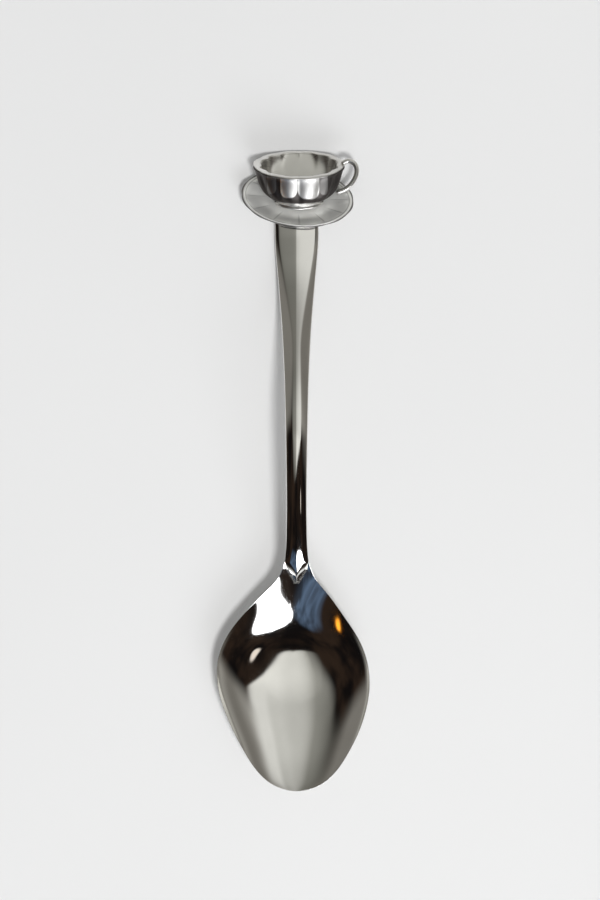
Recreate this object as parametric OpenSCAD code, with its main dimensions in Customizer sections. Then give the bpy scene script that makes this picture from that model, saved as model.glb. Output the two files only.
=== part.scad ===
/* [Overall] */
// Length from the bowl's tip to the top of the teacup's rim
overall_l = 125; // [115:1:140]

/* [Bowl] */
// Wall of the pressed bowl
bowl_wall = 0.9; // [0.7:0.1:1.2]
// Distance from the bowl's tip to its deepest point
bowl_deep_y = 27; // [25:1:28]
// Rim height above the table at the tip
rim_tip_z = 5.7; // [5:0.1:6.5]
// How square the bowl's cross section is at its widest: 2 is a plain parabola
bowl_fullness = 3.5; // [2.5:0.1:4]
// How far the bowl's widest part lies to the left of the stem's line
bowl_lean = 0.9; // [0:0.1:1]
// Radius of the flat that the bowl rests on
land_r = 2.6; // [2:0.1:3]

/* [Stem] */
// Height of the stem's underside at the top of its arch
arch_z = 11.6; // [11:0.1:12]
// Thickness at the narrow neck, on the ridge
neck_t = 2.2; // [2:0.1:2.6]
// Thickness at the wide end, on the ridge
end_t = 1.7; // [1.6:0.1:2]
// Thickness of the flat tongue under the saucer
tongue_t = 1.3; // [1.1:0.1:1.4]
// Width of the bevel along each edge, at the narrow neck
neck_bevel = 1.15; // [1:0.05:1.3]
// Depth of the brazed gap between the stem's point and the bowl
braze_t = 0.12; // [0.1:0.01:0.15]

/* [Saucer] */
// Half of the saucer's width
saucer_a = 11.05; // [10:0.05:12]
// Half of the saucer's height, foreshortened as in a relief
saucer_b = 5.9; // [5.5:0.1:6.5]
// Number of radial flutes, on the saucer and on the cup
flutes = 12; // [8:2:16]

/* [Teacup] */
// Radius of the cup's rim
cup_r = 8.98; // [8.5:0.01:9.4]
// Height of the cup along its own axis
cup_h = 8.3; // [8:0.1:8.6]
// Angle that the cup's mouth is turned up towards the viewer
cup_tilt = 21.5; // [18:0.5:25]
// How far the relief keeps the cup's true depth
relief = 0.55; // [0.5:0.01:0.6]
// Wall of the hollow cup
cup_wall = 0.65; // [0.5:0.05:0.8]
// Width of the ear handle's band
ear_band = 1.1; // [0.9:0.1:1.3]

/* [Hidden] */
$fn = 64;
eps = 0.01;
steel = [0.78, 0.78, 0.79];
cast = [0.72, 0.70, 0.66];
solder = [0.62, 0.62, 0.60];

// Places along the spoon, measured from the bowl's tip
lap_tip_y = 40.6;       // point of the stem's V
lap_tip_w = 0.25;       // half of the width that the point is rounded to
lap_tip_t = 0.9;        // thickness of the stem at its point
lap_tip_slope = 0.75;
lap_shoulder_y = 44.3;  // where the V's arms reach the edges
lap_shoulder_w = 2.3;
tang_end_y = 51;        // end of the bowl's tang, under the stem
arch_top_y = 68;
flat_y = 108.5;         // where the stem's back becomes flat
flat_z = 0.03;          // the pad under the tongue stands this far proud of the stem's back
saucer_y = 115.6;       // centre of the saucer
tongue_end_y = 118;
tongue_step_y = 110.9;  // where the ridge gives way to the tongue
cup_axis_y = 114.1;     // centre of the cup's foot
cup_x = 0.45;
pad_w = 6.2;            // width of the pad and of the solder on the tongue
solder_y = 111.4;

// The stem's line, measured across from the middle of the footprint
stem_x = 0.7;

// Heights above the table, and slopes
rim_dip = [34, 5.8, 0.03];  // place, height and slope of the rim where it dips at the shoulders
neck = [42.5, 7.9, 0.68];   // the same where the rim runs out into the neck
tang_top_z = 10.6;
tang_slope = 0.25;
tang_edge_t = 0.64;         // thickness of the tang's thin end
bevel_slope = 0.55;         // along the stem
point_slope = 1.25;         // round the stem's V-shaped point
facet_slope = 0.12;
solder_t = 0.15;
saucer_back_z = tongue_t + solder_t;
saucer_well_z = 2.2;
saucer_lift = 0.9;
saucer_turn = -5.4;     // the finial is set a little askew
saucer_flute = 0.22;
saucer_crease = 10;     // turns the flutes so that a crease comes to the front
relief_slope = 0.18;    // how the saucer falls away towards its far side
cup_foot_z = 3.5;
cup_back_gap = 0.1;
cup_flute = 0.07;
cup_crease = 15;
cup_lip = 0.75;         // how much thicker the wall is at the rim
ear_z = 4.5;
ear_rise = 0.075;
ear_t = 1.4;

// Moves a piece from the stem's line and the bowl's tip to the frame
module place(x = 0, y = 0, z = 0) translate([stem_x + x, y - overall_l / 2, z]) children();

// Smooth interpolation
function hermite(y, a, b) =
    let (h = b[0] - a[0], t = (y - a[0]) / h)
    a[1] * (1 + 2 * t) * (1 - t) * (1 - t) + a[2] * h * t * (1 - t) * (1 - t)
    + b[1] * t * t * (3 - 2 * t) - b[2] * h * t * t * (1 - t);
function catmull(a, b, c, d, t) =
    0.5 * (2 * b + (c - a) * t + (2 * a - 5 * b + 4 * c - d) * t * t
    + (3 * b - a - 3 * c + d) * t * t * t);
function spline(points, before, steps) =
    let (n = len(points))
    [for (i = [0 : n - 2], k = [0 : steps - 1])
        catmull(i == 0 ? before : points[i - 1], points[i], points[i + 1],
            i == n - 2 ? 2 * points[i + 1] - points[i] : points[i + 2], k / steps)];
function clamp01(t) = min(1, max(0, t));
function ramp(a, b, x) = let (t = clamp01((x - a) / (b - a))) t * t * (3 - 2 * t);

// One closed skin over rows of points. Each row is a closed ring, and both ends are capped.
module skin(rows) {
    n = len(rows[0]);
    last = len(rows) - 1;
    points = [for (row = rows, p = row) p];
    sides = [for (r = [0 : last - 1], i = [0 : n - 1], k = [0, 1])
        let (j = (i + 1) % n, a = r * n + i, b = r * n + j, c = b + n, d = a + n)
        k == 0 ? [a, c, b] : [a, d, c]];
    first_cap = [for (i = [1 : n - 2]) [0, i, i + 1]];
    last_cap = [for (i = [1 : n - 2]) [last * n, last * n + i + 1, last * n + i]];
    polyhedron(points, concat(sides, first_cap, last_cap), convexity = 6);
}

// A closed skin over rings that start and end at a single point.
module skin_between(pole_a, rows, pole_b) {
    n = len(rows[0]);
    last = len(rows) - 1;
    points = concat([for (row = rows, p = row) p], [pole_a, pole_b]);
    a_index = (last + 1) * n;
    sides = [for (r = [0 : last - 1], i = [0 : n - 1], k = [0, 1])
        let (j = (i + 1) % n, a = r * n + i, b = r * n + j, c = b + n, d = a + n)
        k == 0 ? [a, b, c] : [a, c, d]];
    fan_a = [for (i = [0 : n - 1]) [a_index, (i + 1) % n, i]];
    fan_b = [for (i = [0 : n - 1]) [a_index + 1, last * n + i, last * n + (i + 1) % n]];
    polyhedron(points, concat(sides, fan_a, fan_b), convexity = 6);
}

// The bowl's outline on the +X side, from the tip to the end of the tang
bowl_half = spline([
    [0, 0], [4.3, 1.1], [7.0, 3.2], [9.2, 6.1], [12.3, 11.9], [14.3, 17.8], [14.8, 22.4],
    [14.1, 26.8], [11.85, 31.3], [7.2, 37.2], [3.75, 41.0], [2.4, 44.3], [2.0, 47], [1.8, tang_end_y]
], [-4.3, 1.1], 3);
bowl_side = concat(bowl_half, [[1.8, tang_end_y]]);
bowl_outline = concat(bowl_side,
    [for (i = [len(bowl_side) - 1 : -1 : 1]) [-bowl_side[i][0], bowl_side[i][1]]]);
half_width_table = [for (p = bowl_side) [p[1], p[0]]];
function bowl_half_w(y) = lookup(y, half_width_table);

// Heights of the bowl's inner surface: along its middle, at its rim, and anywhere
deepest = [bowl_deep_y, bowl_wall, 0];
tang = [tang_end_y, tang_top_z, tang_slope];
function middle_z(y) =
    y < bowl_deep_y
    ? bowl_wall + (rim_tip_z - bowl_wall) * pow((bowl_deep_y - y) / bowl_deep_y, 2.5)
    : y < neck[0] ? hermite(y, deepest, neck) : hermite(y, neck, tang);
function rim_z(y) =
    y < rim_dip[0] ? hermite(y, [0, rim_tip_z, 0.03], rim_dip)
    : y < neck[0] ? hermite(y, rim_dip, neck) : middle_z(y);
// The cross section turns from full at the widest place to a plain parabola at the shoulders
function fullness(y) = 2 + (bowl_fullness - 2) * (1 - ramp(20, 35, y)) * ramp(-20, 16, y);
function bowl_x(y) = -bowl_lean * ramp(8, 29, y) * (1 - ramp(31, 42, y));
function bowl_z(x, y) =
    let (w = bowl_half_w(y), t = w > eps ? min(1, abs(x) / w) : 1)
    middle_z(y) + (rim_z(y) - middle_z(y)) * pow(t, fullness(y));
// The wall thickens a little towards the rim, and the tang is drawn thin to lie flush under the stem
function wall_at(s, y) = bowl_wall * (1 + 0.3 * s * s) * (1 - 0.45 * ramp(42, tang_end_y, y));

module bowl() {
    centre = [0, bowl_deep_y];
    steps = 11;
    shares = [for (k = [1 : steps]) k / steps];
    inner = [for (s = shares) [for (p = bowl_outline)
        let (q = centre + s * (p - centre)) [q[0] + bowl_x(q[1]), q[1], bowl_z(q[0], q[1])]]];
    outer = [for (k = [steps - 1 : -1 : 0]) let (s = shares[k]) [for (p = bowl_outline)
        let (q = centre + s * (p - centre))
        [q[0] + bowl_x(q[1]), q[1], bowl_z(q[0], q[1]) - wall_at(s, q[1])]]];
    x = bowl_x(bowl_deep_y);
    color(steel) place() {
        skin_between([x, bowl_deep_y, bowl_wall], concat(inner, outer), [x, bowl_deep_y, 0]);
        translate([x, bowl_deep_y, 0]) cylinder(r = land_r, h = bowl_wall / 2);
    }
}

// Half width of the stem along its length, from the V's shoulders to the tongue's end
stem_width_points = [
    [lap_shoulder_y, lap_shoulder_w], [47, 2.1], [52, 2.02], [57, 2.0], [66, 2.1], [76, 2.3],
    [84, 2.6], [91.5, 3.02], [100, 3.72], [107, 4.3], [112, 4.25], [tongue_end_y, 3.6]
];
stem_width = spline(stem_width_points, 2 * stem_width_points[0] - stem_width_points[1], 4);
function stem_half_w(y) =
    y < lap_shoulder_y
    ? lap_tip_w + (lap_shoulder_w - lap_tip_w) * (y - lap_tip_y) / (lap_shoulder_y - lap_tip_y)
    : lookup(y, concat(stem_width, [[tongue_end_y, 3.6]]));
// Width of the bevels: broadest part way down, where they close in on the ridge
bevel_points = [
    [lap_shoulder_y, 1.05], [57, neck_bevel], [72, 1.3], [80, 1.6], [87.6, 1.9], [95, 1.55],
    [100, 1.2], [107, 0.8], [tongue_end_y, 0.6]
];
bevel_widths = spline(bevel_points, 2 * bevel_points[0] - bevel_points[1], 4);
function stem_bevel(y) = min(stem_half_w(y) - 0.02, lookup(y, bevel_widths));
// Behind the tang the stem's back runs on from the tang's underside
under_tang = [tang_end_y, tang_top_z - tang_edge_t, tang_slope];
arch_top = [arch_top_y, arch_z, 0];
function stem_under_z(y) =
    y <= tang_end_y ? middle_z(y) + braze_t
    : y < arch_top_y ? hermite(y, under_tang, arch_top)
    : y < flat_y ? hermite(y, arch_top, [flat_y, flat_z, 0]) : flat_z;
// Thickness on the ridge. Over the lap the top runs in one sweep from the point to the arch.
lap_start = [lap_tip_y - eps, middle_z(lap_tip_y) + lap_tip_t, lap_tip_slope];
lap_end = under_tang + [0, neck_t, 0];
function ridge_t(y) =
    y <= tang_end_y ? hermite(y, lap_start, lap_end) - stem_under_z(y)
    : y < tongue_step_y ? neck_t + (end_t - neck_t) * ramp(arch_top_y, flat_y, y) : tongue_t;

// One cross section of the stem: flat back, upright edges, bevels, and two facets up to the ridge
function stem_ring(y) =
    let (w = stem_half_w(y), z = stem_under_z(y), t = ridge_t(y), b = stem_bevel(y),
        tongue = y > tongue_step_y, side = tongue ? t : t - facet_slope * (w - b),
        steep = bevel_slope + (point_slope - bevel_slope) * (1 - ramp(44, 47, y)),
        drop = tongue ? 0.05 : min(steep * b, side - 0.2 * t))
    [[-w * 0.9, y, z], [-w, y, z + t * 0.12], [-w, y, z + side - drop], [-w + b, y, z + side],
     [0, y, z + t], [w - b, y, z + side], [w, y, z + side - drop], [w, y, z + t * 0.12], [w * 0.9, y, z]];

module stem() {
    stations = concat(
        [lap_tip_y, 41.2, 41.8, 42.5, 43.4, lap_shoulder_y, 45.2, 46.5, 48, 49.5],
        [tang_end_y, tang_end_y + eps],
        [for (k = [1 : 9]) tang_end_y + k * (66 - tang_end_y) / 9],
        [for (k = [1 : 14]) 66 + k * (tongue_step_y - 66) / 14],
        [tongue_step_y + 0.05, 112, 115, tongue_end_y - 0.6, tongue_end_y]);
    color(steel) place() {
        skin([for (y = stations) stem_ring(y)]);
        translate([-pad_w / 2, flat_y + 0.2, 0])
            cube([pad_w, tongue_end_y - flat_y - 0.8, tongue_t / 2]);
    }
}

// Bright seam of braze metal that follows the stem's point and shows just outside it
module neck_braze() {
    show = 0.28;
    ys = [lap_tip_y - 0.35, 41, 41.9, 43, lap_shoulder_y, 46, 48, 49.8, tang_end_y];
    color(solder) place()
        skin([for (y = ys)
            let (w = y < lap_shoulder_y ? stem_half_w(y + 0.35) + show
                    : min(stem_half_w(y), bowl_half_w(y)) - 0.05,
                z = middle_z(y))
            [[-w, y, z], [-w, y, z + braze_t], [w, y, z + braze_t], [w, y, z]]]);
}

// Angle of point i of n around a ring
function turn(i, n) = 360 * i / n;
// Rounded petals, with a crease between neighbours
function petal(angle) = abs(cos(angle * flutes / 2));

// Height of the saucer's flank over its well. It dies away behind the cup.
function saucer_lift_at(s, y) =
    let (shown = 1 - ramp(0.3, 0.6, y / saucer_b))
    shown * (saucer_lift * ramp(0.66, 0.93, s) + 0.12 * ramp(0.9, 0.95, s) - 0.3 * ramp(0.96, 1, s));
function saucer_point(s, angle, top) =
    let (p = petal(angle + saucer_crease), edge = 1 + 0.014 * (p - 0.6),
        x = saucer_a * s * edge * cos(angle),
        y = saucer_b * s * edge * sin(angle),
        shown = (1 - ramp(0.3, 0.5, y / saucer_b)) * (1 - ramp(0.9, 0.97, s)),
        flute = saucer_flute * (p - 0.6) * ramp(0.55, 0.8, s) * shown)
    [x, y, top ? saucer_well_z + saucer_lift_at(s, y) + flute - relief_slope * y
        : saucer_back_z + max(0, 0.67 * ramp(0.6, 1, s) * (saucer_lift_at(1, y) - relief_slope * y))];

module saucer() {
    n = flutes * 6;
    top = [0.2, 0.45, 0.58, 0.7, 0.82, 0.9, 0.95, 0.98, 1];
    back = [0.985, 0.9, 0.7, 0.4];
    color(cast) place(0.15, saucer_y) rotate([0, 0, saucer_turn])
        skin_between([0, 0, saucer_well_z],
            concat([for (s = top) [for (i = [0 : n - 1]) saucer_point(s, turn(i, n), true)]],
                [for (s = back) [for (i = [0 : n - 1]) saucer_point(s, turn(i, n), false)]]),
            [0, 0, saucer_back_z]);
}

// Soft solder between the stem's tongue and the back of the saucer
module finial_solder() {
    color(solder) place(-pad_w / 2, solder_y, tongue_t) cube([pad_w, pad_w, solder_t]);
}

// The cup's outer and inner profiles: radius at each height along its axis
cup_outer = [[3.9, 0.3], [4.75, 0.4], [4.85, 0.9], [4.5, 1.15], [5.4, 1.6], [6.75, 2.7], [7.55, 4.1],
    [8.1, 5.7], [8.5, 7.2], [8.75, 7.75], [cup_r, 8.0], [cup_r, cup_h - 0.1], [cup_r - 0.25, cup_h]];
cup_inner = [for (i = [len(cup_outer) - 2 : -1 : 4])
    let (p = cup_outer[i])
    [p[0] - cup_wall - cup_lip * ramp(6, 8.3, p[1]), min(cup_h - 0.02, p[1] + 0.25)]];

// From the cup's own axis into the tilted, flattened relief, with its back cut off flat
function cup_back_z(y) = saucer_well_z + cup_back_gap - relief_slope * (y - saucer_y);
function cup_place(x, y, h, back) =
    let (yy = cup_axis_y + y * sin(cup_tilt) + h * cos(cup_tilt),
        z = cup_foot_z + (h * sin(cup_tilt) - y * cos(cup_tilt)) * relief)
    [x, yy, max(z, cup_back_z(yy) + back)];
function cup_ring(r, h, back) =
    let (n = flutes * 6, fade = back > 0 ? 0 : 0.6, // the outside is plainer at the rim
        depth = cup_flute * ramp(1.3, 2.2, h) * (1 - fade * ramp(6.5, 8, h)))
    [for (i = [0 : n - 1])
        let (angle = -turn(i, n), q = r * (1 + depth * (petal(angle + cup_crease) - 0.6)))
        cup_place(q * cos(angle), q * sin(angle), h, back)];

module teacup() {
    color(cast) place(cup_x)
        skin_between(cup_place(0, 0, cup_outer[0][1], 0),
            concat([for (p = cup_outer) cup_ring(p[0], p[1], 0)],
                [for (p = cup_inner) cup_ring(p[0], p[1], cup_wall)]),
            cup_place(0, 0, cup_outer[4][1] + 0.2, cup_wall));
}

// Soft solder under the cup's flat back
module cup_solder() {
    slope = atan(relief_slope);
    color(solder) place(cup_x, saucer_y + 0.2, saucer_well_z - 0.036)
        rotate([-slope, 0, 0]) linear_extrude(cup_back_gap)
            polygon([for (i = [0 : 35]) [3.0 * cos(i * 10), 2.0 * sin(i * 10)]]);
}

// Ear-shaped handle: a flat band bent through the points of its middle line
ear_line = concat(spline([[8.75, 121.9], [10.1, 122.55], [11.35, 121.9], [11.75, 120.4], [11.1, 118.6],
    [9.7, 117.1], [7.7, 116.3]], [7.6, 121.0], 5), [[7.7, 116.3]]);
function ear_normal(i) =
    let (n = len(ear_line), d = ear_line[min(n - 1, i + 1)] - ear_line[max(0, i - 1)])
    [-d[1], d[0]] / norm(d);
module cup_handle() {
    n = len(ear_line);
    half = ear_band / 2;
    color(cast) place()
        skin([for (i = [0 : n - 1])
            let (p = ear_line[i], v = ear_normal(i), z = ear_z + ear_rise * (p[1] - tongue_end_y))
            [for (k = [0 : 7]) let (a = turn(k + 0.5, 8))
                [p[0] + v[0] * half * cos(a), p[1] + v[1] * half * cos(a), z + ear_t / 2 * sin(a)]]]);
}

bowl();
stem();
neck_braze();
saucer();
finial_solder();
teacup();
cup_solder();
cup_handle();
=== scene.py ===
import math

import bmesh
import bpy
from mathutils import Matrix, Vector


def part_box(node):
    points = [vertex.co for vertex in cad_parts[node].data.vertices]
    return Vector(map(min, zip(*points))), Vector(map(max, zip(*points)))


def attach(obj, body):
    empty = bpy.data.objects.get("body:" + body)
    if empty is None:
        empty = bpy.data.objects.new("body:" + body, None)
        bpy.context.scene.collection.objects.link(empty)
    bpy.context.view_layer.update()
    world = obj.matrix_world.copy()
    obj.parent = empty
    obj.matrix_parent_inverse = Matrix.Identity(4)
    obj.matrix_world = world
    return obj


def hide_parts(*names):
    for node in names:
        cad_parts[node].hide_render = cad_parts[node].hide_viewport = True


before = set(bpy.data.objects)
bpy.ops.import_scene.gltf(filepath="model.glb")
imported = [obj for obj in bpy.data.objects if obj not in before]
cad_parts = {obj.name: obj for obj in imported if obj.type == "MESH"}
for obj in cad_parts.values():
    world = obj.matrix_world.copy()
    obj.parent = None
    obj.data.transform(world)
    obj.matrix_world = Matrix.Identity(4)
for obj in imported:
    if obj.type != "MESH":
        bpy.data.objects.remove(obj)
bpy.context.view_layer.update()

# --- Bowl -------------------------------------------------------------------------------------
# The bowl is pressed from sheet steel and polished, egg shaped, with a rounded rim. Its shoulders
# draw in to a narrow tang that lies under the stem. Sizes are in millimetres: y from the bowl's
# tip, x from the stem's line and z from the table.

MM = 0.001
tip_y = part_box("bowl")[0].y / MM
stem_x = (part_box("stem")[0].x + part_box("stem")[1].x) / 2 / MM

wall, rim_round = 0.9, 0.34
rim_thickening, tang_thinning = 0.3, 0.45
deep_y, tip_power = 27.0, 2.5
bowl_lean = 0.9
rim_tip_z, rim_slope = 5.7, 0.03
rim_dip = (34, 5.8, rim_slope)
neck = (42.5, 7.9, 0.68)
tang_y, tang_z, tang_slope = 51.0, 10.6, 0.25
outline_points = [
    (0, 0), (4.3, 1.1), (7.0, 3.2), (9.2, 6.1), (12.3, 11.9), (14.3, 17.8), (14.8, 22.4),
    (14.1, 26.8), (11.85, 31.3), (7.2, 37.2), (3.75, 41.0), (2.4, 44.3), (2.0, 47.0), (1.8, 51.0),
]


def ramp(low, high, value):
    """0 below low, 1 above high, and a smooth rise between them."""
    t = min(1.0, max(0.0, (value - low) / (high - low)))
    return t * t * (3 - 2 * t)


def hermite(y, a, b):
    """The cubic from a to b, each (place, height, slope)."""
    h = b[0] - a[0]
    t = (y - a[0]) / h
    return (a[1] * (1 + 2 * t) * (1 - t) ** 2 + a[2] * h * t * (1 - t) ** 2
            + b[1] * t * t * (3 - 2 * t) - b[2] * h * t * t * (1 - t))


def through(points, before, steps):
    """Points on the smooth curve through the given ones, with steps of them to each stretch."""
    line = [Vector(before)] + [Vector(p) for p in points]
    line.append(2 * line[-1] - line[-2])
    made = []
    for a, b, c, d in zip(line, line[1:], line[2:], line[3:]):
        for k in range(steps):
            t = k / steps
            made.append(0.5 * (2 * b + (c - a) * t + (2 * a - 5 * b + 4 * c - d) * t ** 2
                               + (3 * b - a - 3 * c + d) * t ** 3))
    return made + [Vector(points[-1])]


def pick(line, share):
    """The point at that share of a line's length."""
    lengths = [0.0]
    for a, b in zip(line, line[1:]):
        lengths.append(lengths[-1] + (b - a).length)
    want = share * lengths[-1]
    for k in range(1, len(line)):
        if lengths[k] >= want - 1e-9:
            span = lengths[k] - lengths[k - 1]
            return line[k - 1].lerp(line[k], (want - lengths[k - 1]) / span if span else 0)
    return line[-1]


def at(table, y):
    """The value at y in a list of (y, value) that rises in y."""
    if y <= table[0][0]:
        return table[0][1]
    for (y0, v0), (y1, v1) in zip(table, table[1:]):
        if y <= y1:
            return v0 + (v1 - v0) * (y - y0) / (y1 - y0)
    return table[-1][1]


bowl_side = through(outline_points, (-4.3, 1.1), 8)
bowl_edge = bowl_side + [Vector((0, tang_y))]
bowl_widths = [(p.y, p.x) for p in bowl_side]


def middle_x(y):
    """The bowl leans a little to the left of the stem's line at its widest."""
    return -bowl_lean * ramp(8, 29, y) * (1 - ramp(31, 42, y))


def middle_z(y):
    """Height of the bowl's inner face along its middle, running on over the tang."""
    if y < deep_y:
        return wall + (rim_tip_z - wall) * ((deep_y - y) / deep_y) ** tip_power
    if y < neck[0]:
        return hermite(y, (deep_y, wall, 0), neck)
    return hermite(y, neck, (tang_y, tang_z, tang_slope))


def rim_z(y):
    """Height of the bowl's rim, which dips a little at the shoulders."""
    if y < rim_dip[0]:
        return hermite(y, (0, rim_tip_z, rim_slope), rim_dip)
    return hermite(y, rim_dip, neck) if y < neck[0] else middle_z(y)


def bowl_z(x, y):
    """Height of the bowl's inner face anywhere. It is fullest at its widest place."""
    w = at(bowl_widths, y)
    t = min(1.0, abs(x) / w) if w > 0.01 else 1.0
    fullness = 2 + 1.5 * (1 - ramp(20, 35, y)) * ramp(-20, 16, y)
    return middle_z(y) + (rim_z(y) - middle_z(y)) * t ** fullness


def grow(bm, loop):
    """Extrudes a loop of edges where it is, and gives back the new loop."""
    grown = bmesh.ops.extrude_edge_only(bm, edges=loop)["geom"]
    return [e for e in grown if isinstance(e, bmesh.types.BMEdge)]


def dish(bm, squares, rows):
    """A round patch of squares with rows of faces round it. Each point keeps its row as its z."""
    rounding = 0.3
    bmesh.ops.create_grid(bm, x_segments=squares, y_segments=squares, size=1)
    for vert in bm.verts:
        x, y = vert.co.x, vert.co.y
        vert.co = (x * math.sqrt(1 - rounding * y * y), y * math.sqrt(1 - rounding * x * x), 0)
    loop = [e for e in bm.edges if e.is_boundary]
    for row in range(1, rows + 1):
        loop = grow(bm, loop)
        for vert in {v for e in loop for v in e.verts}:
            vert.co.z = row
    return loop


def polar(vert, shares):
    """Share of the radius and angle of a dish's point. Rows are squarish near the patch."""
    squarish_rows = 3
    row = round(vert.co.z)
    flat = math.hypot(vert.co.x, vert.co.y)
    corner = 1 + (max(1.0, flat) - 1) * max(0, 1 - row / squarish_rows)
    share = shares[row] * (corner if row else flat)
    return share, math.atan2(vert.co.x, -vert.co.y)


def finish(bm, name, replaced, levels):
    """A smooth, subdivided piece in metres, from a mesh in millimetres with the bowl's tip at 0."""
    bmesh.ops.translate(bm, vec=(stem_x, tip_y, 0), verts=bm.verts)
    bmesh.ops.scale(bm, vec=(MM, MM, MM), verts=bm.verts)
    bmesh.ops.recalc_face_normals(bm, faces=bm.faces)
    for face in bm.faces:
        face.smooth = True
    mesh = bpy.data.meshes.new(name)
    bm.to_mesh(mesh)
    bm.free()
    piece = bpy.data.objects.new(name, mesh)
    bpy.context.scene.collection.objects.link(piece)
    subdivision = piece.modifiers.new("subdivision", "SUBSURF")
    subdivision.levels = subdivision.render_levels = levels
    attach(piece, "root")
    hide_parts(replaced)
    return piece


bowl_rows = [0.40, 0.50, 0.60, 0.69, 0.78, 0.86, 0.93, 0.975, 1.0]
bm = bmesh.new()
dish(bm, 18, len(bowl_rows) - 1)
upper = bm.verts[:]
copied = bmesh.ops.duplicate(bm, geom=bm.verts[:] + bm.edges[:] + bm.faces[:])["geom"]
lower = [v for v in copied if isinstance(v, bmesh.types.BMVert)]
for verts, below in ((upper, 0), (lower, wall)):
    for vert in verts:
        share, angle = polar(vert, bowl_rows)
        edge = pick(bowl_edge, abs(angle) / math.pi)
        x, y = share * math.copysign(edge.x, angle), deep_y + share * (edge.y - deep_y)
        thick = below * (1 + rim_thickening * share * share)
        thick *= 1 - tang_thinning * ramp(42, tang_y, y)
        vert.co = (x + middle_x(y), y, max(0.0, bowl_z(x, y) - thick))
bmesh.ops.reverse_faces(bm, faces=[f for f in copied if isinstance(f, bmesh.types.BMFace)])
rims = [e for e in bm.edges if e.is_boundary]
bmesh.ops.bridge_loops(bm, edges=rims)
bmesh.ops.bevel(bm, geom=rims, offset=rim_round, offset_type="OFFSET", segments=3, profile=0.5,
                affect="EDGES", material=-1, clamp_overlap=True)
bowl = finish(bm, "pressed_bowl", "bowl", 2)


class Wire:
    """A shader socket that does arithmetic. node() adds any other kind of node to its tree."""

    def __init__(self, tree, socket):
        self.tree, self.socket = tree, socket

    def node(self, kind, settings=None, inputs=None, out=0):
        made = self.tree.nodes.new("ShaderNode" + kind)
        for name, value in (settings or {}).items():
            setattr(made, name, value)
        for name, value in (inputs or {}).items():
            if isinstance(value, Wire):
                self.tree.links.new(value.socket, made.inputs[name])
            else:
                made.inputs[name].default_value = value
        return Wire(self.tree, made.outputs[out])

    def math(self, operation, a, b=0.0, c=0.0, clamp=False):
        return self.node("Math", {"operation": operation, "use_clamp": clamp}, {0: a, 1: b, 2: c})

    def __add__(self, other):
        return self.math("ADD", self, other)

    __radd__ = __add__

    def __sub__(self, other):
        return self.math("SUBTRACT", self, other)

    def __rsub__(self, other):
        return self.math("SUBTRACT", other, self)

    def __mul__(self, other):
        return self.math("MULTIPLY", self, other)

    __rmul__ = __mul__

    def along(self, direction):
        """How far a vector reaches in a direction."""
        return self.node("VectorMath", {"operation": "DOT_PRODUCT"}, {0: self, 1: direction}, "Value")

    def between(self, low, high):
        """0 below low, 1 above high, smooth between them."""
        return self.node("MapRange", {"interpolation_type": "SMOOTHSTEP"},
                         {"Value": self, "From Min": low, "From Max": high})

    def mix(self, colour_a, colour_b):
        """Colour a where this is 0 and colour b where it is 1. A Mix node's colours are 6 and 7."""
        a, b = (c if isinstance(c, Wire) else (*c, 1) for c in (colour_a, colour_b))
        return self.node("Mix", {"data_type": "RGBA"}, {0: self, 6: a, 7: b}, out=2)


def object_place(material):
    """The wire of a material's object coordinates, which are in metres."""
    return Wire(material.node_tree, None).node("TexCoord", out="Object")


def new_material(name):
    """An empty material, with the wire of its object coordinates and its shader."""
    material = bpy.data.materials.new(name)
    material.use_nodes = True
    return material, object_place(material), material.node_tree.nodes["Principled BSDF"]


def polished_metal(name, colour, dull, rough, scratch):
    """Mirror-polished metal with a cloudy sheen, fine wiping scratches and duller patches."""
    material, place, shader = new_material(name)
    clouds = place.node("TexNoise", {}, {"Vector": place, "Scale": 90.0, "Detail": 4.0})
    stretched = place.node("Mapping", {}, {"Vector": place, "Scale": (900.0, 60.0, 900.0)})
    hairs = place.node("TexNoise", {}, {"Vector": stretched, "Scale": 4.0, "Detail": 5.0,
                                        "Roughness": 0.7})
    turned = place.node("Mapping", {}, {"Vector": place, "Rotation": (0, 0, 0.7),
                                        "Scale": (1400.0, 110.0, 1400.0)})
    cross = place.node("TexNoise", {}, {"Vector": turned, "Scale": 2.0, "Detail": 4.0})
    marks = hairs.between(0.55, 0.8) * 0.6 + cross.between(0.6, 0.85) * 0.4
    colour_wire = clouds.between(0.35, 0.75).mix(colour, dull)
    tree = material.node_tree
    tree.links.new(colour_wire.socket, shader.inputs["Base Color"])
    roughness = rough + clouds.between(0.3, 0.8) * (rough * 0.6) + marks * scratch
    tree.links.new(roughness.socket, shader.inputs["Roughness"])
    bump = place.node("Bump", {}, {"Height": marks, "Strength": 0.04, "Distance": 0.00002})
    tree.links.new(bump.socket, shader.inputs["Normal"])
    shader.inputs["Metallic"].default_value = 1.0
    return material


steel = polished_metal("polished_steel", colour=(0.80, 0.79, 0.77), dull=(0.74, 0.73, 0.71),
                       rough=0.05, scratch=0.10)
bowl.data.materials.append(steel)


# --- Stem -------------------------------------------------------------------------------------
# The stem is a solid drawn bar of the same polished steel, with a flat back, two facets that meet
# in a ridge, and a bevel along each edge. Its V-shaped point laps onto the bowl and is brazed
# there, and its far end is a flat tongue.

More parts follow.
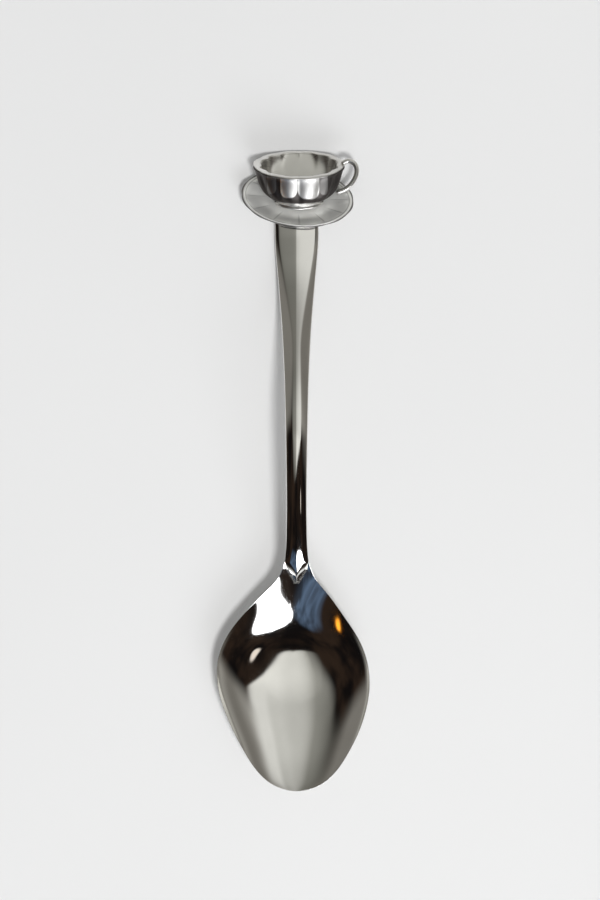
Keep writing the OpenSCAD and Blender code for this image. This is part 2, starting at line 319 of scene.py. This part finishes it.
lap_y, shoulder_y = 40.6, 44.3
flat_y, step_y, end_y = 108.5, 110.9, 118.0
point_half, shoulder_half = 0.25, 2.3
arch, rest_z = (68, 11.6, 0), 0.03
point_t, neck_t, end_t, tongue_t = 0.9, 2.2, 1.7, 1.3
point_rise = 0.75
tang_t, braze_t = 0.64, 0.12
facet_slope, bevel_slope, point_slope = 0.12, 0.55, 1.25
tongue_edge, corner_soft = 0.05, 0.14
under_tang = (tang_y, tang_z - tang_t, tang_slope)
bevel_points = [
    (44.3, 1.05), (57, 1.15), (72, 1.3), (80, 1.6), (87.6, 1.9), (95, 1.55), (100, 1.2),
    (107, 0.8), (118, 0.6),
]
width_points = [
    (44.3, shoulder_half), (47, 2.1), (52, 2.02), (57, 2.0), (66, 2.1), (76, 2.3), (84, 2.6),
    (91.5, 3.02), (100, 3.72), (107, 4.3), (112, 4.25), (118, 3.6),
]
stem_widths = [tuple(p) for p in through(width_points, (41.6, 2.5), 6)]
stem_bevels = [tuple(p) for p in through(bevel_points, (31.6, 0.95), 6)]


def stem_w(y):
    """Half of the stem's width."""
    if y < shoulder_y:
        return point_half + (shoulder_half - point_half) * (y - lap_y) / (shoulder_y - lap_y)
    return at(stem_widths, y)


def stem_under(y):
    """Height of the stem's flat back."""
    if y <= tang_y:
        return middle_z(y) + braze_t
    if y < arch[0]:
        over_tang = middle_z(tang_y) + braze_t - under_tang[1]
        return hermite(y, under_tang, arch) + over_tang * (1 - ramp(tang_y, tang_y + 3, y))
    return hermite(y, arch, (flat_y, rest_z, 0)) if y < flat_y else rest_z


def stem_ridge(y):
    """Height of the stem's ridge."""
    if y <= tang_y:
        top = (tang_y, under_tang[1] + neck_t, tang_slope)
        return hermite(y, (lap_y, middle_z(lap_y) + point_t, point_rise), top)
    if y < arch[0]:
        return hermite(y, under_tang, arch) + neck_t
    if y < step_y:
        return stem_under(y) + neck_t + (end_t - neck_t) * ramp(arch[0], flat_y, y)
    return tongue_t


def stem_ring(y):
    """One cross section of the stem, with a pair of points at each corner to keep it crisp."""
    w, low, high = stem_w(y), stem_under(y), stem_ridge(y)
    t = high - low
    tongue = y > step_y
    b = min(w - 0.02, at(stem_bevels, y))
    side = t if tongue else t - facet_slope * (w - b)
    steep = bevel_slope + (point_slope - bevel_slope) * (1 - ramp(44, 47, y))
    drop = tongue_edge if tongue else min(steep * b, side - 0.2 * t)
    half = [(0, high), (w - b, low + side), (w, low + side - drop), (w, low + t * 0.12),
            (w * 0.9, low)]
    soft = min(corner_soft, w * 0.12)
    points = []
    for k, (x, z) in enumerate(half):
        here = Vector((x, z))
        before = Vector(half[k - 1]) if k else Vector((-half[1][0], half[1][1]))
        after = Vector(half[k + 1]) if k + 1 < len(half) else Vector((0, low))
        near = [here + (other - here).normalized() * min(soft, (other - here).length * 0.3)
                for other in (before, after)]
        points += near if k else near[1:]
    right = [Vector((p.x, y, p.y)) for p in points]
    left = [Vector((-p.x, p.y, p.z)) for p in reversed(right)]
    return right + [Vector((0, y, low))] + left


near_tang, near_step, near_end = 0.1, 0.08, 0.3
spacing = 1.6
stations = [lap_y, lap_y + 0.12, 41.2, 41.8, 42.5, 43.3, 44.1, shoulder_y, 44.7, 45.5, 46.6, 48, 49.5]
stations += [tang_y - near_tang, tang_y + near_tang]
stations += [tang_y + near_tang + spacing * k for k in range(1, 37)]
stations += [step_y - near_step, step_y + near_step, 112.5, 115, end_y - near_end, end_y]
bm = bmesh.new()
ring = [bm.verts.new(p) for p in stem_ring(stations[0])]
loop = [bm.edges.new((a, b)) for a, b in zip(ring, ring[1:] + ring[:1])]
bm.faces.new(ring)
for y in stations[1:]:
    loop = grow(bm, loop)
    bm.verts.ensure_lookup_table()
    for vert, corner in zip(bm.verts[-len(ring):], stem_ring(y)):
        vert.co = corner
bm.faces.new(bm.verts[-len(ring):])
stem = finish(bm, "ridged_stem", "stem", 2)
stem.data.materials.append(steel)


# --- Braze seam -------------------------------------------------------------------------------
# Silver braze is run in between the stem's point and the bowl, and joins the two. It shows as a
# bright line round the V. The seam keeps the shape of the model's own node.

braze_metal = polished_metal("silver_braze", colour=(0.80, 0.78, 0.73), dull=(0.70, 0.68, 0.62),
                             rough=0.16, scratch=0.10)
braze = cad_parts["neck_braze"]
braze.data.materials.clear()
braze.data.materials.append(braze_metal)


# --- Saucer -----------------------------------------------------------------------------------
# The saucer is a cast and plated oval dish in relief, with radial flutes, a rolled edge and a flat
# back, soldered to the stem's tongue. It has a satin finish, with painted shade in its creases and
# two painted shade lines round its edge.

flutes = 12
saucer_x, saucer_y, saucer_turn = 0.15, 115.6, math.radians(-5.4)
saucer_a, saucer_b = 11.05, 5.9
well_z, saucer_back = 2.2, 1.45
saucer_fall = 0.18
saucer_crease, flute_depth, flute_middle = math.radians(10), 0.22, 0.6
saucer_rise, edge_roll, edge_drop, edge_wave = 0.9, 0.12, 0.3, 0.014
back_share = 0.67


def petal(angle):
    """1 at the middle of a flute and 0 in the crease between two."""
    return abs(math.cos(angle * flutes / 2))


def saucer_lift(s, y):
    """How far the saucer rises over its well. It dies away behind the cup."""
    shown = 1 - ramp(0.3, 0.6, y / saucer_b)
    rolled = edge_roll * ramp(0.9, 0.95, s) - edge_drop * ramp(0.96, 1, s)
    return shown * (saucer_rise * ramp(0.66, 0.93, s) + rolled)


def saucer_place(s, angle, top):
    """A point of the saucer's top or back, from its share of the radius and its angle."""
    p = petal(angle + saucer_crease) - flute_middle
    edge = 1 + edge_wave * p
    x, y = saucer_a * s * edge * math.cos(angle), saucer_b * s * edge * math.sin(angle)
    if top:
        shown = (1 - ramp(0.3, 0.5, y / saucer_b)) * (1 - ramp(0.9, 0.97, s))
        flute = flute_depth * p * ramp(0.55, 0.8, s) * shown
        z = well_z + saucer_lift(s, y) + flute - saucer_fall * y
    else:
        rise = saucer_lift(1, y) - saucer_fall * y
        z = saucer_back + max(0, back_share * ramp(0.6, 1, s) * rise)
    along, aside = math.cos(saucer_turn), math.sin(saucer_turn)
    return (saucer_x + x * along - y * aside, saucer_y + x * aside + y * along, z)


saucer_rows = [(s, True) for s in (0.42, 0.52, 0.6, 0.7, 0.8, 0.88, 0.93, 0.96, 0.985, 1.0)]
saucer_rows += [(s, False) for s in (0.995, 0.96, 0.88, 0.75, 0.6, 0.45)]
bm = bmesh.new()
loop = dish(bm, flutes * 2, len(saucer_rows) - 1)
bmesh.ops.contextual_create(bm, geom=loop)
for vert in bm.verts:
    top = saucer_rows[round(vert.co.z)][1]
    share, angle = polar(vert, [row[0] for row in saucer_rows])
    vert.co = saucer_place(share, angle - math.pi / 2, top)
saucer = finish(bm, "fluted_saucer", "saucer", 1)

# The colour and strength of painted shade, darkened into the finial's creases, edges and cup body.
painted_shade, painted_shade_strength = (0.035, 0.028, 0.026), 0.95


def paint_shade(material, shade_mask):
    """Paints shade into a material's colour, darkening it where the given wire is 1."""
    tree = material.node_tree
    shader = tree.nodes["Principled BSDF"]
    colour = Wire(tree, shader.inputs["Base Color"].links[0].from_socket)
    shaded_colour = (shade_mask * painted_shade_strength).mix(colour, painted_shade)
    tree.links.new(shaded_colour.socket, shader.inputs["Base Color"])


def crease_mask(angle, width):
    """1 in the creases between the flutes, from a wire of the angle."""
    across_flute = angle.math("ABSOLUTE", angle.math("COSINE", angle * (flutes / 2)))
    return 1 - across_flute.between(0.0, width)


satin = polished_metal("satin_casting", colour=(0.84, 0.84, 0.81), dull=(0.74, 0.74, 0.71),
                       rough=0.34, scratch=0.10)
satin.node_tree.nodes["Principled BSDF"].inputs["Metallic"].default_value = 0.6
spot = object_place(satin)
middle = Vector((stem_x + saucer_x, tip_y + saucer_y, 0)) * MM
turned = Matrix.Rotation(saucer_turn, 3, "Z")
long_way = turned @ Vector((1 / MM, 0, 0)) / saucer_a
short_way = turned @ Vector((0, 1 / MM, 0)) / saucer_b
u = spot.along(long_way) - long_way.dot(middle)
v = spot.along(short_way) - short_way.dot(middle)
share = spot.math("SQRT", u * u + v * v)
# Painted shade in the creases between the flutes, and two painted shade lines at the rolled edge.
crease_shade = crease_mask(spot.math("ARCTAN2", v, u) + saucer_crease, 0.22)
crease_shade = crease_shade * share.between(0.5, 0.7) * (1 - share.between(0.86, 0.93)) * 0.35
inner_edge_shade = share.between(0.905, 0.915) * (1 - share.between(0.925, 0.935)) * 0.4
outer_edge_shade = share.between(0.962, 0.978) * 0.9
paint_shade(satin, crease_shade + inner_edge_shade + outer_edge_shade)
saucer.data.materials.append(satin)


# --- Solder -----------------------------------------------------------------------------------
# Soft solder is melted between the tongue and the saucer, and between the saucer and the cup. It
# is a dull grey tin alloy. Both seams keep the shapes of the model's own nodes.

solder_metal = polished_metal("soft_solder", colour=(0.55, 0.55, 0.53), dull=(0.38, 0.38, 0.37),
                              rough=0.34, scratch=0.20)
for name in ("finial_solder", "cup_solder"):
    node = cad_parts[name]
    node.data.materials.clear()
    node.data.materials.append(solder_metal)


# --- Teacup -----------------------------------------------------------------------------------
# A hollow cast and plated cup in relief, its mouth turned up, with rounded petals round the body, a
# foot ring, and a flat back that is soldered to the saucer. Painted shade and a painted dark reflection
# darken its body, leaving two front petals bright as painted highlights, and painted shade lines the
# creases and lip inside its mouth.

cup_x, foot_y, foot_z = 0.45, 114.1, 3.5
cup_r, cup_h, cup_tilt, relief = 8.98, 8.3, math.radians(21.5), 0.55
cup_wall, cup_gap, lip_width, lip_drop = 0.65, 0.1, 0.75, 0.25
cup_crease, petal_depth, lip_smoothing = math.radians(15), 0.07, 0.6
cup_outer = [(3.9, 0.3), (4.75, 0.4), (4.85, 0.9), (4.5, 1.15), (5.4, 1.6), (6.75, 2.7), (7.55, 4.1),
             (8.1, 5.7), (8.5, 7.2), (8.75, 7.75), (8.98, 8.0), (8.98, 8.2), (8.73, 8.3)]
cup_inner = [(r - cup_wall - lip_width * ramp(6, cup_h, h), min(cup_h - 0.02, h + lip_drop))
             for r, h in reversed(cup_outer[4:-1])]


def cup_place(r, h, angle, back):
    """A point of the cup, from its radius, height and angle on its own axis."""
    smoothed = 0 if back else lip_smoothing * ramp(6.5, 8, h)
    depth = petal_depth * ramp(1.3, 2.2, h) * (1 - smoothed)
    q = r * (1 + depth * (petal(angle + cup_crease) - flute_middle))
    x, y = q * math.cos(angle), q * math.sin(angle)
    yy = foot_y + y * math.sin(cup_tilt) + h * math.cos(cup_tilt)
    z = foot_z + (h * math.sin(cup_tilt) - y * math.cos(cup_tilt)) * relief
    flat = well_z + cup_gap - saucer_fall * (yy - saucer_y)
    return (cup_x + x, yy, max(z, flat + back))


around = flutes * 8
bm = bmesh.new()
bmesh.ops.create_circle(bm, segments=around, radius=1)
loop = bm.edges[:]
angles = [math.atan2(v.co.y, v.co.x) for v in bm.verts]
for vert, angle in zip(bm.verts, angles):
    vert.co = cup_place(*cup_outer[0], angle, 0)
bm.faces.new(bm.verts[:])
for k, (r, h) in enumerate(cup_outer[1:] + cup_inner):
    loop = grow(bm, loop)
    bm.verts.ensure_lookup_table()
    for vert, angle in zip(bm.verts[-around:], angles):
        vert.co = cup_place(r, h, angle, cup_wall if k >= len(cup_outer) - 1 else 0)
bm.faces.new(bm.verts[-around:])
teacup = finish(bm, "fluted_teacup", "teacup", 1)

cup_metal = polished_metal("shade_painted_casting", colour=(0.86, 0.85, 0.82), dull=(0.78, 0.77, 0.74),
                           rough=0.30, scratch=0.10)
cup_spot = object_place(cup_metal)
cup_across = cup_spot.along((1 / MM, 0, 0)) - (stem_x + cup_x)
cup_height = cup_spot.along((0, 1 / MM, 0)) - (tip_y + foot_y)


def petal_mask(centre, half_width, foot, bulge):
    """1 on a petal left bright as a painted highlight: upright sides and a rounded foot."""
    offset = cup_spot.math("ABSOLUTE", (cup_across - centre) * (1 / half_width))
    aside = cup_spot.math("POWER", offset, 3.0)
    down = cup_spot.math("MAXIMUM", (foot + bulge - cup_height) * (1 / bulge), 0.0)
    return 1 - (aside + down * down).between(0.8, 1.15)


mouth_y, mouth_a, mouth_b = 7.6, 7.3, 2.7
near_lip = cup_spot.math("POWER", cup_across * (1 / cup_r), 2.0)
near_lip = cup_spot.math("SQRT", 1 - near_lip, clamp=True)
body = (8.5 - near_lip * 4.1 - cup_height).between(0.0, 0.5)
body = body * (cup_height + 0.4 - cup_across * cup_across * 0.03).between(0.0, 0.3)
# Painted shade and dark reflection over the body, except two front petals left bright as painted
# highlights and a faint painted glint on the two side petals.
highlit_petals = cup_spot.math("MAXIMUM", petal_mask(-1.95, 1.65, 0.8, 1.7), petal_mask(1.85, 2.1, 0.6, 1.9))
glimmer = cup_spot.math("MAXIMUM", petal_mask(-5.3, 0.9, 1.7, 1.2), petal_mask(4.8, 0.8, 1.5, 1.2))
body_shade = body * (1 - highlit_petals) * (1 - glimmer * 0.16)
# Inside the mouth: painted shade in the creases between the flutes and along the lip's inner edge.
u, v = cup_across * (1 / mouth_a), (cup_height - mouth_y) * (1 / mouth_b)
inside = cup_spot.math("SQRT", u * u + v * v)
crease_shade = crease_mask(cup_spot.math("ARCTAN2", v, u) + cup_crease, 0.25)
crease_shade = crease_shade * inside.between(0.6, 0.85) * (1 - inside.between(0.97, 1.02)) * 0.35
lip_shade = inside.between(0.95, 0.98) * (1 - inside.between(1.0, 1.03)) * 0.3
paint_shade(cup_metal, body_shade + (crease_shade + lip_shade) * (1 - body))
teacup.data.materials.append(cup_metal)


# --- Ear handle -------------------------------------------------------------------------------
# A round band bent like an ear, with an open loop, cast and plated like the cup. Both its ends are
# fixed to the cup's right side.

ear_z, ear_rise = 4.5, 0.3 / 4
band_half_width, band_half_height, band_sides = 0.55, 0.7, 10
ear_points = [(8.75, 121.9), (10.1, 122.55), (11.35, 121.9), (11.75, 120.4), (11.1, 118.6),
              (9.7, 117.1), (7.7, 116.3)]
ear = through(ear_points, (7.6, 121.0), 3)
bm = bmesh.new()
bmesh.ops.create_circle(bm, segments=band_sides, radius=1)
loop = bm.edges[:]
bm.faces.new(bm.verts[:])
for k, stop in enumerate(ear):
    if k:
        loop = grow(bm, loop)
    bm.verts.ensure_lookup_table()
    along = (ear[min(k + 1, len(ear) - 1)] - ear[max(k - 1, 0)]).normalized()
    outwards = Vector((-along.y, along.x, 0)) * band_half_width
    upwards = Vector((0, 0, band_half_height))
    centre = Vector((stop.x, stop.y, ear_z + ear_rise * (stop.y - 118)))
    for i, vert in enumerate(bm.verts[-band_sides:]):
        turn = 2 * math.pi * i / band_sides
        vert.co = centre + outwards * math.cos(turn) + upwards * math.sin(turn)
bm.faces.new(bm.verts[-band_sides:])
handle = finish(bm, "ear_handle", "cup_handle", 2)
casting = polished_metal("plated_casting", colour=(0.88, 0.87, 0.84), dull=(0.78, 0.77, 0.74),
                         rough=0.26, scratch=0.10)
handle.data.materials.append(casting)


# --- Table, light and camera ------------------------------------------------------------------
# A plain pale table under a soft sky: a large window low on the near right side, a lighter
# ceiling beyond, and a darker room behind the camera. Only mirror reflections see this room.

bm = bmesh.new()
bmesh.ops.create_grid(bm, x_segments=1, y_segments=1, size=3)
floor_mesh = bpy.data.meshes.new("table")
bm.to_mesh(floor_mesh)
bm.free()
floor = bpy.data.objects.new("table", floor_mesh)
bpy.context.scene.collection.objects.link(floor)
floor_material, place, shader = new_material("pale_table")
grain = place.node("TexNoise", {}, {"Vector": place, "Scale": 6.0, "Detail": 3.0})
tone = grain.between(0.3, 0.7).mix((0.79, 0.79, 0.785), (0.81, 0.81, 0.805))
floor_material.node_tree.links.new(tone.socket, shader.inputs["Base Color"])
shader.inputs["Roughness"].default_value = 0.6
floor_mesh.materials.append(floor_material)

ceiling_white, ceiling_bright, ceiling_grey = (0.95, 0.95, 0.90), (0.98, 0.98, 0.94), (0.45, 0.45, 0.41)
ceiling_dark, ceiling_far, ceiling_right = (0.05, 0.045, 0.04), (0.03, 0.03, 0.02), (0.36, 0.35, 0.32)
wall_low, wall_high, wall_left = (0.34, 0.33, 0.30), (0.20, 0.19, 0.17), (0.22, 0.21, 0.19)
room_black, room_brown = (0.006, 0.005, 0.005), (0.030, 0.019, 0.013)
horizon_grey, blue_glass = (0.26, 0.25, 0.23), (0.12, 0.18, 0.28)
orange_lamp, white_lamp, window_light = (3.0, 1.1, 0.1), (1.0, 0.9, 0.8), (6.0, 6.1, 6.3)
soft_dome, plain_backdrop = (0.38, 0.38, 0.38), (0.83, 0.83, 0.83, 1)

world = bpy.data.worlds.new("studio")
bpy.context.scene.world = world
world.use_nodes = True
tree = world.node_tree
tree.nodes.clear()
sky = Wire(tree, None)
towards = sky.node("TexCoord", out="Generated")
dx, dy, dz = (towards.along(axis) for axis in ((1, 0, 0), (0, 1, 0), (0, 0, 1)))
clouds = sky.node("TexNoise", {}, {"Vector": towards, "Scale": 3.0, "Detail": 2.0})

ceiling = dx.between(-0.75, 0.05).mix(ceiling_dark, ceiling_grey)
ceiling = dx.between(-0.12, 0.05).mix(ceiling, ceiling_white)
far_fade = dy.between(0.0, 0.20) * 0.31 + dy.between(0.42, 0.78) * 0.24
ceiling = far_fade.mix(ceiling, ceiling_far)
ceiling = (dx.between(0.12, 0.26) * dy.between(0.05, 0.2) * 0.45).mix(ceiling, ceiling_bright)
ceiling = dx.between(0.40, 0.75).mix(ceiling, ceiling_right)
from_left = dx.between(-0.75, -0.3)
walls = from_left.mix(wall_left, dz.between(0.05, 0.30).mix(wall_low, wall_high))
ceiling = dz.between(0.35, 0.78).mix(walls, ceiling)

overhead = (dz + dy * 0.42 + dx.between(-0.12, 0.0) * 0.09).between(0.88, 1.01)
overhead = overhead * (1 - (dx - dy * 3.5).between(0.18, 0.32))
room = clouds.between(0.35, 0.7).mix(room_black, room_brown)
light_map = overhead.mix(room, ceiling)
far_wall = (dy - dz * 0.62 + dx * 0.1).between(-0.34, -0.02)
light_map = far_wall.mix(light_map, ceiling)

streaks = towards.node("Mapping", {}, {"Vector": towards, "Scale": (9.0, 9.0, 2.0)})
streaks = towards.node("TexNoise", {}, {"Vector": streaks, "Scale": 1.6, "Detail": 2.0})
blue = towards.along((-0.25, -0.82, 0.51)).between(0.95, 0.99)
blue = blue * (0.3 + streaks.between(0.25, 0.75) * 0.7)
light_map = blue.mix(light_map, blue_glass)
light_map = dz.between(0.0, 0.10).mix(from_left.mix(horizon_grey, wall_left), light_map)
orange = towards.along((-0.683, -0.683, 0.259)).between(0.9985, 0.9997)
light_map = orange.mix(light_map, orange_lamp)
white = towards.along((0.503, -0.245, 0.829)).between(0.995, 0.999)
light_map = white.mix(light_map, white_lamp)

pane, pane_side, pane_up = (0.349, -0.783, 0.515), (0.868, 0.063, -0.492), (0.352, 0.619, 0.702)
facing = towards.along(pane)
pane_across = sky.math("DIVIDE", towards.along(pane_side), facing) + 0.03
pane_upward = sky.math("DIVIDE", towards.along(pane_up), facing) - 0.01
reach = (sky.math("POWER", sky.math("ABSOLUTE", pane_across) * 2.9, 2.4)
         + sky.math("POWER", sky.math("ABSOLUTE", pane_upward) * 5.2, 2.4))
window = (1 - reach.between(0.8, 1.2)) * facing.between(0.5, 0.6)
light_map = window.mix(light_map, window_light)
light_map = sky.node("LightPath", out="Is Diffuse Ray").mix(light_map, soft_dome)

background = sky.node("Background", {}, {"Color": light_map, "Strength": 1.0})
plain = sky.node("Background", {}, {"Color": plain_backdrop, "Strength": 1.0})
is_camera = sky.node("LightPath", out="Is Camera Ray")
both = sky.node("MixShader", {}, {0: is_camera, 1: background, 2: plain})
output = tree.nodes.new("ShaderNodeOutputWorld")
tree.links.new(both.socket, output.inputs["Surface"])

lamp_width, lamp_power, lamp_distance = 0.22, 7.9, 1.2
lamp = bpy.data.lights.new("soft_key", "AREA")
lamp.shape = "DISK"
lamp.size = lamp_width
lamp.energy = lamp_power
key = bpy.data.objects.new("soft_key", lamp)
bpy.context.scene.collection.objects.link(key)
key_from = Vector((0.19, -0.30, 0.93)).normalized()
key.location = key_from * lamp_distance
key.rotation_euler = key_from.to_track_quat("Z", "Y").to_euler()
key.visible_glossy = False

camera_data = bpy.data.cameras.new("camera")
camera = bpy.data.objects.new("camera", camera_data)
bpy.context.scene.collection.objects.link(camera)
bpy.context.scene.camera = camera
camera_distance, frame_height, sensor = 0.60, 0.1763, 36
look_at = Vector((0.00135, 0.0038, 0.0))
from_side = Vector((0.0, -0.03, 1.0)).normalized()
right = Vector((0, 1, 0)).cross(from_side).normalized()
camera.matrix_world = Matrix((right, from_side.cross(right), from_side)).transposed().to_4x4()
camera.location = look_at + from_side * camera_distance
camera_data.sensor_width = sensor
camera_data.lens = sensor * camera_distance / frame_height
camera_data.clip_start, camera_data.clip_end = 0.01, 20

bpy.context.scene.view_settings.view_transform = "Standard"
